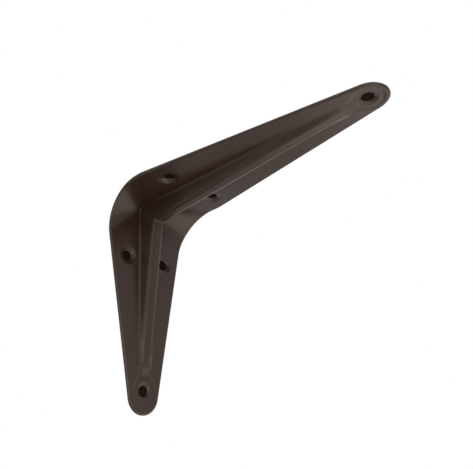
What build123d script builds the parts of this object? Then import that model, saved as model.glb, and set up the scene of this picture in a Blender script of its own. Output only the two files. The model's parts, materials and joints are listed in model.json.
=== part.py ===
from build123d import *
from math import acos, atan2, hypot, sqrt, tan
import os

# Shelf bracket: one tapered strip of sheet steel, bent to an L, with a rib pressed along the middle.
# Millimetres. The wall plane is x = 0 and the strip is even about y = 0; the leg hangs down the wall
# along -Z and the arm reaches out under the shelf along +X. The origin lies on the wall plane, midway
# between the two upper wall screws, so the shelf lies at the height of the bend above them.

# Sheet and overall size
sheet = 1.2
arm_length = 100.0
leg_length = 75.0

# Tapered outline: the widest place lies on the arm, a little in front of the bend; round tips, broken edges
shoulder_half_width = 18.9
shoulder_station = 20.0
blunt_corner_radius = 4.0
tip_radius = 6.2
edge_break = 0.4

# Bend: its inside radius is small beside the rib and grows towards the free edges, like part of a cone
bend_inside_at_rib = 3.0
bend_inside_at_shoulder = 16.7

# Pressed rib: height above the sheet, half width of its foot, and its narrow flat top
rib_corner_height = 7.0
rib_corner_half_foot = 4.2
rib_end_height = 0.6
rib_end_half_foot = 3.2
rib_top_half_width = 1.0
rib_nose_length = 2.5
rib_nose_height = 0.06
rib_nose_half_foot = 1.9
rib_groove_radius = 0.2
rib_foot_radius = 0.8
rib_end_gap = 1.6
rib_steps = 6

# Shallow dish in each tip, inside the rim by a margin; it narrows towards the rib and runs in under its end
dish_margin = 1.3
dish_depth = 0.25
dish_lead = 6.5
dish_lead_radius = 1.9
dish_slope = 0.6

# Screw holes with a shallow countersink; the two in the tips lie close to the centers of the round tips
hole_diameter = 3.6
countersink_diameter = 7.0
countersink_angle = 130.0
arm_tip_hole_ahead = 0.2
leg_tip_hole_behind = 1.4
arm_pair_station = 25.0
arm_pair_half_pitch = 10.3
leg_pair_station = 21.4
leg_pair_half_pitch = 8.2

# Working values: overrun of the cutting shapes, and what counts as touching an outline
overlap = 2.0
touch = 1e-4
rim_shortest = 1.5 * sheet

# Derived values
shelf_level = leg_pair_station
arm_tip_center = arm_length - tip_radius
leg_tip_center = leg_length - tip_radius
mitre_station = sheet + rib_corner_height
tip_clear = countersink_diameter / 2 + rib_end_gap
arm_tip_hole = arm_tip_center + arm_tip_hole_ahead
leg_tip_hole = leg_tip_center - leg_tip_hole_behind
dish_radius = tip_radius - dish_margin
arm_rib_end = arm_tip_hole - tip_clear - rib_nose_length
leg_rib_end = leg_tip_hole - tip_clear - rib_nose_length
bend_at_rib = bend_inside_at_rib + sheet
bend_growth = (bend_inside_at_shoulder - bend_inside_at_rib) / (shoulder_half_width - rib_corner_half_foot)
bend_seam = rib_corner_half_foot - sheet / 2
bend_at_seam = bend_at_rib - bend_growth * (rib_corner_half_foot - bend_seam)
trim_half_width = shoulder_half_width + overlap
bend_at_trim = bend_at_rib + bend_growth * (trim_half_width - rib_corner_half_foot)
rib_back = sheet / 2
rib_start = bend_at_rib - sqrt(bend_at_rib**2 - (bend_at_rib - rib_back) ** 2)
taper_run = arm_tip_center - shoulder_station
taper_angle = acos(tip_radius / hypot(shoulder_half_width, taper_run)) - atan2(taper_run, shoulder_half_width)
arm_root_half_width = shoulder_half_width + shoulder_station * tan(taper_angle)

# Inner faces of the arm and the leg: first axis along the strip, away from the bend
arm_face = Plane(origin=(0, 0, shelf_level - sheet), x_dir=(1, 0, 0), z_dir=(0, 0, -1))
leg_face = Plane(origin=(sheet, 0, shelf_level), x_dir=(0, 0, -1), z_dir=(1, 0, 0))


def across_leg(station):
    """Plane across the leg: first axis along Y, second axis away from the wall."""
    return Plane(origin=(0, 0, shelf_level - station), x_dir=(0, 1, 0), z_dir=(0, 0, -1))


def across_arm(station):
    """Plane across the arm: first axis along Y, second axis down, away from the shelf."""
    return Plane(origin=(station, 0, shelf_level), x_dir=(0, 1, 0), z_dir=(-1, 0, 0))


def bent_strip(offset, radius):
    """Side view of the bent strip at an offset along Y, with the given outer bend radius."""
    center = (radius, -radius)
    with BuildSketch(Plane(origin=(0, offset, shelf_level), x_dir=(1, 0, 0), z_dir=(0, -1, 0))) as view:
        with BuildLine():
            Line((0, -leg_length), (0, -radius))
            CenterArc(center, radius, 180, -90)
            Line((radius, 0), (arm_length, 0))
            Line((arm_length, 0), (arm_length, -sheet))
            Line((arm_length, -sheet), (radius, -sheet))
            CenterArc(center, radius - sheet, 90, 90)
            Line((sheet, -radius), (sheet, -leg_length))
            Line((sheet, -leg_length), (0, -leg_length))
        make_face()
    return view.sketch


def dish_outline(plane, tip_hole, inset):
    """Outline of a dish, made smaller by the inset: round at the hole, narrower at the rib."""
    with BuildSketch(plane) as outline:
        with Locations((tip_hole, 0)):
            Circle(dish_radius - inset)
        with Locations((tip_hole - dish_lead, 0)):
            Circle(dish_lead_radius - inset)
        make_hull()
    return outline.sketch


def skin_section(plane, height, half_foot, crest_radius, foot_radius, face, back):
    """Section of one skin of the rib: foot arcs, straight sides tangent to them, flat top with round edges.

    The feet run out on the level called face; the section is closed at the level called back.
    """
    crest_center = Vector(rib_top_half_width, face + height - crest_radius)
    foot_center = Vector(half_foot, face + foot_radius)
    reach = foot_center - crest_center
    lean = (crest_radius + foot_radius) / reach.length
    ahead = reach.normalized()
    normal = ahead * lean + Vector(-ahead.Y, ahead.X) * sqrt(1 - lean**2)
    halfway = (normal + Vector(0, 1)).normalized()
    crest_middle = crest_center + halfway * crest_radius
    crest_side = crest_center + normal * crest_radius
    foot_side = foot_center - normal * foot_radius
    foot_middle = foot_center - halfway * foot_radius
    with BuildSketch(plane) as section:
        with BuildLine():
            ThreePointArc((half_foot, face), foot_middle, foot_side)
            Line(foot_side, crest_side)
            ThreePointArc(crest_side, crest_middle, (rib_top_half_width, face + height))
            Line((rib_top_half_width, face + height), (0, face + height))
            mirror(about=Plane.YZ)
            Line((-half_foot, face), (-half_foot, back))
            Line((-half_foot, back), (half_foot, back))
            Line((half_foot, back), (half_foot, face))
        make_face()
    return section.sketch


def rib_section(plane, height, half_foot, drop):
    """Inner skin of the rib, closed half way into the sheet; its feet lie lower by the drop."""
    crest = rib_groove_radius + sheet
    return skin_section(plane, height, half_foot, crest, rib_foot_radius, sheet - drop, rib_back)


def groove_section(plane, height, half_foot, drop):
    """Outer skin of the rib, one sheet thickness behind the inner skin, closed outside the sheet."""
    foot = rib_foot_radius + sheet
    return skin_section(plane, height, half_foot, rib_groove_radius, foot, -drop, -overlap)


def rib_sections(section, across, start, end):
    """Sections along one half of the rib: an even taper through the mitre, then the nose in the dish."""
    run = []
    for step in range(rib_steps + 1):
        station = start + (end - start) * step / rib_steps
        share = (station - mitre_station) / (end - mitre_station)
        height = rib_corner_height + (rib_end_height - rib_corner_height) * share
        half_foot = rib_corner_half_foot + (rib_end_half_foot - rib_corner_half_foot) * share
        run.append(section(across(station), height, half_foot, 0))
    run.append(section(across(end + rib_nose_length), rib_nose_height, rib_nose_half_foot, dish_depth))
    return run


def arm_gap(edge):
    """Largest distance of the edge from the arm's outline, seen from above."""
    rim = arm_outline.sketch.wire()
    spots = (edge @ 0.1, edge @ 0.5, edge @ 0.9)
    return max(rim.distance_to(Vector(spot.X, spot.Y, shelf_level + overlap)) for spot in spots)


def leg_gap(edge):
    """Largest distance of the edge from the leg's outline, seen from the front."""
    rim = leg_outline.sketch.wire()
    spots = (edge @ 0.1, edge @ 0.5, edge @ 0.9)
    return max(rim.distance_to(Vector(-overlap, spot.Y, spot.Z)) for spot in spots)


with BuildPart() as bracket:
    # Both flanks: the bent strip, with the bend opening out towards the free edge
    beside_rib = bent_strip(bend_seam, bend_at_seam)
    past_edge = bent_strip(trim_half_width, bend_at_trim)
    loft([beside_rib, past_edge], ruled=True)
    mirror(about=Plane.XZ)
    # Middle of the strip, under the rib
    extrude(bent_strip(0, bend_at_seam), amount=bend_seam, both=True)
    # Dishes round the tip holes, pressed into the inner faces
    for face, tip_hole in ((arm_face, arm_tip_hole), (leg_face, leg_tip_hole)):
        brim = dish_outline(face, tip_hole, 0)
        floor = dish_outline(face.offset(-dish_depth), tip_hole, dish_slope)
        loft([brim, floor], ruled=True, mode=Mode.SUBTRACT)
    # Rib on the inner side; its two halves meet in a mitre on the 45 degree plane
    loft(rib_sections(rib_section, across_arm, rib_start, arm_rib_end), ruled=True)
    loft(rib_sections(rib_section, across_leg, rib_start, leg_rib_end), ruled=True)
    # Groove on the outer side, one sheet thickness behind the rib
    arm_groove = rib_sections(groove_section, across_arm, -overlap, arm_rib_end)
    leg_groove = rib_sections(groove_section, across_leg, -overlap, leg_rib_end)
    loft(arm_groove, ruled=True, mode=Mode.SUBTRACT)
    loft(leg_groove, ruled=True, mode=Mode.SUBTRACT)
    # Tapered outlines with round tips, each cut square to its own arm
    with BuildSketch(Plane.XY.offset(shelf_level + overlap)) as arm_outline:
        with Locations((arm_tip_center, 0)):
            Circle(tip_radius)
        Rectangle(overlap, 2 * arm_root_half_width, align=(Align.MAX, Align.CENTER))
        make_hull()
    extrude(amount=-(leg_length + 2 * overlap), mode=Mode.INTERSECT)
    behind_leg = Plane(origin=(-overlap, 0, shelf_level), x_dir=(0, 1, 0), z_dir=(1, 0, 0))
    with BuildSketch(behind_leg) as leg_outline:
        with Locations((0, -leg_tip_center)):
            Circle(tip_radius)
        Rectangle(2 * shoulder_half_width, overlap, align=(Align.CENTER, Align.MIN))
        make_hull()
    extrude(amount=arm_length + 2 * overlap, mode=Mode.INTERSECT)
    # Round the blunt corners where the two tapers meet, then break the long edges on both faces
    blunt = [edge for edge in bracket.edges() if arm_gap(edge) < touch and leg_gap(edge) < touch]
    fillet(blunt, blunt_corner_radius)
    rims = [edge for edge in bracket.edges() if min(arm_gap(edge), leg_gap(edge)) < touch]
    chamfer([edge for edge in rims if edge.length > rim_shortest], edge_break)
    # Screw holes, countersunk on the inner faces
    for face, tip_hole, pair_station, pair_half_pitch in (
        (arm_face, arm_tip_hole, arm_pair_station, arm_pair_half_pitch),
        (leg_face, leg_tip_hole, leg_pair_station, leg_pair_half_pitch),
    ):
        with Locations(face):
            with Locations((tip_hole, 0), (pair_station, pair_half_pitch), (pair_station, -pair_half_pitch)):
                CounterSinkHole(hole_diameter / 2, countersink_diameter / 2, sheet, countersink_angle)

os.makedirs("parts", exist_ok=True)
bracket.part.label = "bracket"
export_step(bracket.part, "parts/bracket.step")
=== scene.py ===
# %% [markdown]
# # A pressed steel shelf bracket
# The object is one strip of sheet steel, tapered to both ends, pressed with a stiffening rib, bent to an L
# and baked in dark brown enamel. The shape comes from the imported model, which is loaded first and stays where
# it is. Blender adds what the shape can't show: the enamel, the light and the point of view of the picture.

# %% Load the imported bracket
import bpy
import json
import math
from mathutils import Matrix, Vector

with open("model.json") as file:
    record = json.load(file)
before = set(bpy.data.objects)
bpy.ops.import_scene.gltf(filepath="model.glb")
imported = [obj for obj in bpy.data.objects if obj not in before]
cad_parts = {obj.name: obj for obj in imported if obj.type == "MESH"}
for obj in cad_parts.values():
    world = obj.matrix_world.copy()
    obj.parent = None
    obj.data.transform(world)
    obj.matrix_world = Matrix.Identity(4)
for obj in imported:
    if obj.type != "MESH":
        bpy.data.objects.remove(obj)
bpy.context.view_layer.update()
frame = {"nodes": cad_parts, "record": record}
bracket = frame["nodes"]["bracket"]
print("bracket loaded:", len(bracket.data.polygons), "triangles")

# %% [markdown]
# ## The point of view
# The bracket is seen from below and from the side of its free end, so both arms show their ribbed faces. A
# camera can be placed by hand until the outlines agree, but here its place, its line of sight and its focal
# length were worked out from the six screw holes and the outline, and they are written down as plain numbers.
# The camera is turned by three vectors: where it looks, what is right and what is up in the picture.

# %% The camera
image_width = 473
focal_pixels = 500.1
sensor_width_mm = 36.0
nearest_view = 0.005
camera_place_mm = (136.70, -109.54, -64.78)
sight_turn = math.radians(130.04)
sight_rise = math.radians(23.08)
sight_roll = math.radians(-3.305)

straight_up = Vector((0.0, 0.0, 1.0))
level_sight = Vector((math.cos(sight_turn), math.sin(sight_turn), 0.0))
sight = level_sight * math.cos(sight_rise) + straight_up * math.sin(sight_rise)
level = Vector((math.sin(sight_turn), -math.cos(sight_turn), 0.0))
upright = level.cross(sight)
right = level * math.cos(sight_roll) + upright * math.sin(sight_roll)
up = upright * math.cos(sight_roll) - level * math.sin(sight_roll)
facing_camera = Matrix((right, up, -sight)).transposed().to_4x4()

bpy.ops.object.select_all(action="DESELECT")
bpy.ops.object.camera_add()
camera = bpy.context.object
camera.name = "camera"
camera.data.sensor_width = sensor_width_mm
camera.data.lens = sensor_width_mm * focal_pixels / image_width
camera.data.clip_start = nearest_view
camera.matrix_world = Matrix.Translation(Vector(camera_place_mm) / 1000) @ facing_camera
bpy.context.scene.camera = camera
print("camera lens", round(camera.data.lens, 2), "mm")

# %% [markdown]
# ## Colours and nodes
# A colour is easy to read as an sRGB hex value, while a shader calculates in linear light. One small function
# turns the first into the second, so every colour below can be read as a swatch. A second one adds a node to a
# material, sets its values and links its inputs, so that a material reads as a short list.

# %% Helpers for materials
def swatch(hex_value):
    """Linear colour with full alpha from an sRGB hex value such as "5a4a40"."""
    parts = [int(hex_value[i:i + 2], 16) / 255 for i in (0, 2, 4)]
    return (*[c / 12.92 if c <= 0.04045 else ((c + 0.055) / 1.055) ** 2.4 for c in parts], 1.0)


def node(tree, kind, settings=None, links=None):
    """Adds a node, sets its properties and input values, and links its inputs to other nodes' outputs."""
    made = tree.nodes.new(kind)
    for name, value in (settings or {}).items():
        if isinstance(name, int) or name in made.inputs:
            made.inputs[name].default_value = value
        else:
            setattr(made, name, value)
    for name, socket in (links or {}).items():
        tree.links.new(socket, made.inputs[name])
    return made


print("a dark brown in linear light:", [round(c, 4) for c in swatch("291c18")])

# %% [markdown]
# ## The room
# The picture has a white ground and soft light from all round. A pale room gives most of that: it lightens
# every shadow a little, and the half-glossy paint mirrors it as a soft veil. A world of one plain colour is
# enough for that, because no other part of a room would show.

# %% The room
bpy.context.scene.view_settings.view_transform = "Standard"

room = bpy.data.worlds.new("pale_room")
room.use_nodes = True
room.node_tree.nodes["Background"].inputs["Color"].default_value = swatch("dcd7d3")
room.node_tree.nodes["Background"].inputs["Strength"].default_value = 1.0
bpy.context.scene.world = room
print("room:", room.name)

# %% [markdown]
# ## The floor
# A bracket hangs on a wall, so the floor lies well below it. The ribbed face of the arm looks down, and the
# floor sends light up at it. The floor is one plane of matt, pale paint: it scatters light evenly, mirrors
# nothing, and takes whatever shadow the soft light leaves.

# %% The floor
floor_level = -0.32
floor_size = 3.0

floor_paint = bpy.data.materials.new("matt_floor_paint")
floor_paint.use_nodes = True
coat = floor_paint.node_tree.nodes["Principled BSDF"]
coat.inputs["Base Color"].default_value = swatch("d8d5d1")
coat.inputs["Roughness"].default_value = 0.9

bpy.ops.object.select_all(action="DESELECT")
bpy.ops.mesh.primitive_plane_add(size=floor_size, location=(0.0, 0.0, floor_level))
floor = bpy.context.object
floor.name = "floor"
floor.data.materials.append(floor_paint)
print("floor at", floor_level, "m")

# %% [markdown]
# ## The screen
# A screen of white card stands on the floor behind the bracket and fills the picture. Lit card alone would
# come out grey, so its material asks the Light Path node what kind of ray has met it: the camera, mirrored and
# refracted rays find pure white, and all other light finds plain card.

# %% The screen
screen_distance = 1.1
screen_size = 1.7

card = bpy.data.materials.new("white_screen_card")
card.use_nodes = True
tree = card.node_tree
tree.nodes.clear()
path = node(tree, "ShaderNodeLightPath")
seen = node(tree, "ShaderNodeMath", {"operation": "MAXIMUM"},
            {0: path.outputs["Is Camera Ray"], 1: path.outputs["Is Glossy Ray"]})
seen = node(tree, "ShaderNodeMath", {"operation": "MAXIMUM"},
            {0: seen.outputs[0], 1: path.outputs["Is Transmission Ray"]})
plain = node(tree, "ShaderNodeBsdfDiffuse", {"Color": swatch("f0f0f0")})
white = node(tree, "ShaderNodeEmission", {"Color": swatch("ffffff"), "Strength": 1.0})
mix = node(tree, "ShaderNodeMixShader", links={0: seen.outputs[0], 1: plain.outputs[0], 2: white.outputs[0]})
node(tree, "ShaderNodeOutputMaterial", links={"Surface": mix.outputs[0]})

bpy.ops.object.select_all(action="DESELECT")
bpy.ops.mesh.primitive_plane_add(size=screen_size)
screen = bpy.context.object
screen.name = "screen"
screen_place = camera.matrix_world.translation + level_sight * screen_distance
screen_place.z = floor_level + screen_size / 2
standing = Matrix((level, straight_up, -level_sight)).transposed().to_4x4()
screen.matrix_world = Matrix.Translation(screen_place) @ standing
screen.data.materials.append(card)
print("screen at", screen_distance, "m from the camera")

# %% [markdown]
# ## The light
# Four soft boxes stand round the bracket, and each has its own work. The key, low in front and to the right,
# and the fill, low beside the camera, bring out the brown. The high one in front draws the bright line along
# the near foot of the rib. The low one, to the right and below, is mirrored by the round bend as a bright
# wedge, between two darker zones where the paint mirrors only the dark bracket. Large lamps close by give all
# of these soft edges.

# %% The lamps
def softbox(name, place_mm, aim_mm, size, watts):
    """Square area lamp at a place, turned to face a point, and itself never in the picture."""
    bpy.ops.object.select_all(action="DESELECT")
    bpy.ops.object.light_add(type="AREA")
    lamp = bpy.context.object
    lamp.name = name
    lamp.data.size = size
    lamp.data.energy = watts
    lamp.data.color = swatch("fff4ea")[:3]
    lamp.visible_camera = False
    stand = Vector(place_mm) / 1000
    aim = Vector(aim_mm) / 1000 - stand
    lamp.matrix_world = Matrix.Translation(stand) @ aim.to_track_quat("-Z", "Y").to_matrix().to_4x4()
    return lamp


lamps = (
    softbox("key_softbox", place_mm=(360, -120, -160), aim_mm=(35, 0, 0), size=0.25, watts=0.48),
    softbox("fill_softbox", place_mm=(200, -260, -100), aim_mm=(45, 0, 5), size=0.20, watts=0.22),
    softbox("high_softbox", place_mm=(200, -480, 350), aim_mm=(35, 0, -5), size=0.50, watts=0.55),
    softbox("low_softbox", place_mm=(80, 124, -180), aim_mm=(8, -12, 12), size=0.28, watts=0.26))
print("lamps:", [(lamp.name, round(lamp.data.energy, 2)) for lamp in lamps])

# %% [markdown]
# ## Painted shade behind the screw holes
# In the picture the screw holes are dark with shade. Six small dots of near-black, matt paint stand in for
# that shade. They are painted shade, and they soak up nearly all the light that reaches them. They belong to
# the studio, not to the bracket: each lies just inside the outer mouth of its hole and leaves the countersink
# and the wall of the hole in view. The places of the holes come from the mounts in the imported record.

# %% Places of the screw holes
mounts = {mount["name"]: mount for mount in frame["record"]["mounts"]}
hole_radius_mm = mounts["wall_screws"]["dims"]["hole_r_mm"]
across = Vector((0.0, 1.0, 0.0))

holes = []
for name, spacing in (("wall_screws", "spacing_x_mm"), ("shelf_screws", "spacing_y_mm")):
    pair = mounts[name]
    half_pitch = across * pair["dims"][spacing] / 2000
    inward = -Vector(pair["axis"])
    holes += [(Vector(pair["pos_m"]) - half_pitch, inward), (Vector(pair["pos_m"]) + half_pitch, inward)]
for name in ("wall_tip_hole", "shelf_tip_hole"):
    holes.append((Vector(mounts[name]["pos_m"]), Vector(mounts[name]["axis"])))
print("screw holes:", len(holes), "with a radius of", hole_radius_mm, "mm")

# %% Dots of painted shade
dot_inset_mm = 0.03
dot_corners = 48

# A near-black, matt material that paints the shade in the screw holes.
hole_shade_paint = bpy.data.materials.new("hole_shade_paint")
hole_shade_paint.use_nodes = True
hole_shade_bsdf = hole_shade_paint.node_tree.nodes["Principled BSDF"]
hole_shade_bsdf.inputs["Base Color"].default_value = swatch("140e0c")
hole_shade_bsdf.inputs["Roughness"].default_value = 0.95
hole_shade_bsdf.inputs["Specular IOR Level"].default_value = 0.1

# Each dot is a disc of painted shade just inside a screw hole.
for mouth, inward in holes:
    bpy.ops.object.select_all(action="DESELECT")
    bpy.ops.mesh.primitive_circle_add(
        vertices=dot_corners, radius=hole_radius_mm / 1000, fill_type="NGON",
        location=mouth + inward * dot_inset_mm / 1000, rotation=inward.to_track_quat("Z", "Y").to_euler())
    dot = bpy.context.object
    dot.name = "painted_shade_dot"
    dot.data.materials.append(hole_shade_paint)
# Counts the dots of painted shade.
print("paper dots:", len(holes))

# %% [markdown]
# ## Brown stove enamel: the colour
# Stove enamel is a paint that is sprayed on and baked hard. The brown itself is very dark: most of what the
# eye sees on it is the room, mirrored softly in the gloss. One flat colour would look like plastic film, so
# the brown drifts a little over centimetres, as sprayed paint does. On sharp edges the wet paint draws back
# and dries thinner and lighter. A Bevel node finds those edges: its rounded normal leans away from the true
# one there, and the dot product of the two falls below 1.

# %% The brown
drift_mm = 14.0
edge_reach_mm = 0.8
edge_begins = 0.995
edge_full = 0.90

enamel = bpy.data.materials.new("brown_stove_enamel")
enamel.use_nodes = True
tree = enamel.node_tree
paint = tree.nodes["Principled BSDF"]

place = node(tree, "ShaderNodeTexCoord").outputs["Object"]
drift = node(tree, "ShaderNodeTexNoise", {"Scale": 1000 / drift_mm, "Detail": 3.0}, {"Vector": place})
true_normal = node(tree, "ShaderNodeNewGeometry").outputs["Normal"]
reached = node(tree, "ShaderNodeBevel", {"samples": 8, "Radius": edge_reach_mm / 1000})
agreement = node(tree, "ShaderNodeVectorMath", {"operation": "DOT_PRODUCT"},
                 {0: reached.outputs["Normal"], 1: true_normal})
edges = node(tree, "ShaderNodeMapRange", {"From Min": edge_begins, "From Max": edge_full},
             {"Value": agreement.outputs["Value"]})
thin = node(tree, "ShaderNodeMath", {"operation": "MULTIPLY"}, {0: edges.outputs[0], 1: drift.outputs["Fac"]})

brown = node(tree, "ShaderNodeMix", {"data_type": "RGBA", 6: swatch("291c18"), 7: swatch("32241e")},
             {0: drift.outputs["Fac"]})
brown = node(tree, "ShaderNodeMix", {"data_type": "RGBA", 7: swatch("493b34")},
             {0: thin.outputs[0], 6: brown.outputs[2]})
tree.links.new(brown.outputs[2], paint.inputs["Base Color"])
print("brown drifts over", drift_mm, "mm and thins", edge_reach_mm, "mm from an edge")

# %% [markdown]
# ## Brown stove enamel: the gloss
# Baked enamel dries to a smooth, half-glossy skin. Its gloss is never quite even, so the roughness follows the
# same slow drift as the brown. Thin paint on the edges is a little more matt, which keeps the light lines
# there soft. The index of refraction is that of a common resin paint.

# %% The gloss
least_roughness = 0.24
most_roughness = 0.36
edge_dulling = 0.25

paint.inputs["IOR"].default_value = 1.45
gloss = node(tree, "ShaderNodeMapRange", {"To Min": least_roughness, "To Max": most_roughness},
             {"Value": drift.outputs["Fac"]})
dull = node(tree, "ShaderNodeMath", {"operation": "MULTIPLY_ADD", 1: edge_dulling},
            {0: edges.outputs[0], 2: gloss.outputs[0]})
tree.links.new(dull.outputs[0], paint.inputs["Roughness"])
print("roughness from", least_roughness, "to", most_roughness, "and up to", edge_dulling, "more on edges")

# %% [markdown]
# ## Brown stove enamel: the bend
# Paint fills the sharp lines of a pressing a little, so a Bevel node rounds the normal at every edge. In the
# picture the bend mirrors the light in one upright band, as if it were rolled evenly. The modelled bend opens
# like a cone beside the rib, and its normals lean sideways. In the bend, between the flat leg, the flat arm
# and the foot of the rib, that sideways lean is taken out of the normal. This changes only how light falls
# there, not the shape. Where the normal points both along the arm and along the leg, the sheet is in the bend.

# %% Normals at the edges and in the bend
edge_round_mm = 0.8
arm_starts_mm = 20.0
leg_starts_mm = 3.2
rib_foot_mm = 4.5
fade_mm = 1.5
full_slant = -0.15

rounded = node(tree, "ShaderNodeBevel", {"samples": 8, "Radius": edge_round_mm / 1000})
spot = node(tree, "ShaderNodeSeparateXYZ", links={0: place})
turned = node(tree, "ShaderNodeSeparateXYZ", links={0: rounded.outputs["Normal"]})
aside = node(tree, "ShaderNodeMath", {"operation": "ABSOLUTE"}, {0: spot.outputs["Y"]})
slant = node(tree, "ShaderNodeMath", {"operation": "MULTIPLY"},
             {0: turned.outputs["X"], 1: turned.outputs["Z"]})
in_bend = node(tree, "ShaderNodeMapRange", {"From Min": 0.0, "From Max": full_slant},
               {"Value": slant.outputs[0]})
for measure, start_mm, end_mm in (
        (spot.outputs["X"], arm_starts_mm, arm_starts_mm - fade_mm),
        (spot.outputs["Z"], leg_starts_mm, leg_starts_mm + fade_mm),
        (aside.outputs[0], rib_foot_mm, rib_foot_mm + fade_mm)):
    inside = node(tree, "ShaderNodeMapRange", {"From Min": start_mm / 1000, "From Max": end_mm / 1000},
                  {"Value": measure})
    in_bend = node(tree, "ShaderNodeMath", {"operation": "MULTIPLY"},
                   {0: in_bend.outputs[0], 1: inside.outputs[0]})

kept_lean = node(tree, "ShaderNodeMath", {"operation": "SUBTRACT", 0: 1.0}, {1: in_bend.outputs[0]})
keep = node(tree, "ShaderNodeCombineXYZ", {"X": 1.0, "Z": 1.0}, {"Y": kept_lean.outputs[0]})
rolled = node(tree, "ShaderNodeVectorMath", {"operation": "MULTIPLY"},
              {0: rounded.outputs["Normal"], 1: keep.outputs[0]})
rolled = node(tree, "ShaderNodeVectorMath", {"operation": "NORMALIZE"}, {0: rolled.outputs[0]})
print("edges rounded by", edge_round_mm, "mm")

# %% [markdown]
# ## Brown stove enamel: the ripple
# Sprayed paint keeps a faint ripple, called orange peel, with humps a millimetre or two across. It is far too
# shallow to model, so it is a bump on top of the normals above. Then the enamel takes the bracket's slot.

# %% The ripple
peel_mm = 1.6
peel_depth_mm = 0.012

peel = node(tree, "ShaderNodeTexNoise", {"Scale": 1000 / peel_mm, "Detail": 1.0}, {"Vector": place})
ripple = node(tree, "ShaderNodeBump", {"Strength": 1.0, "Distance": peel_depth_mm / 1000},
              {"Height": peel.outputs["Fac"], "Normal": rolled.outputs[0]})
tree.links.new(ripple.outputs["Normal"], paint.inputs["Normal"])
bracket.data.materials[0] = enamel
print("enamel nodes:", len(tree.nodes))

# %% [markdown]
# ## The end
# Paint adds no size that can be seen, so the dressed bracket fills the same box as the imported one.

# %% The end
print("the end")
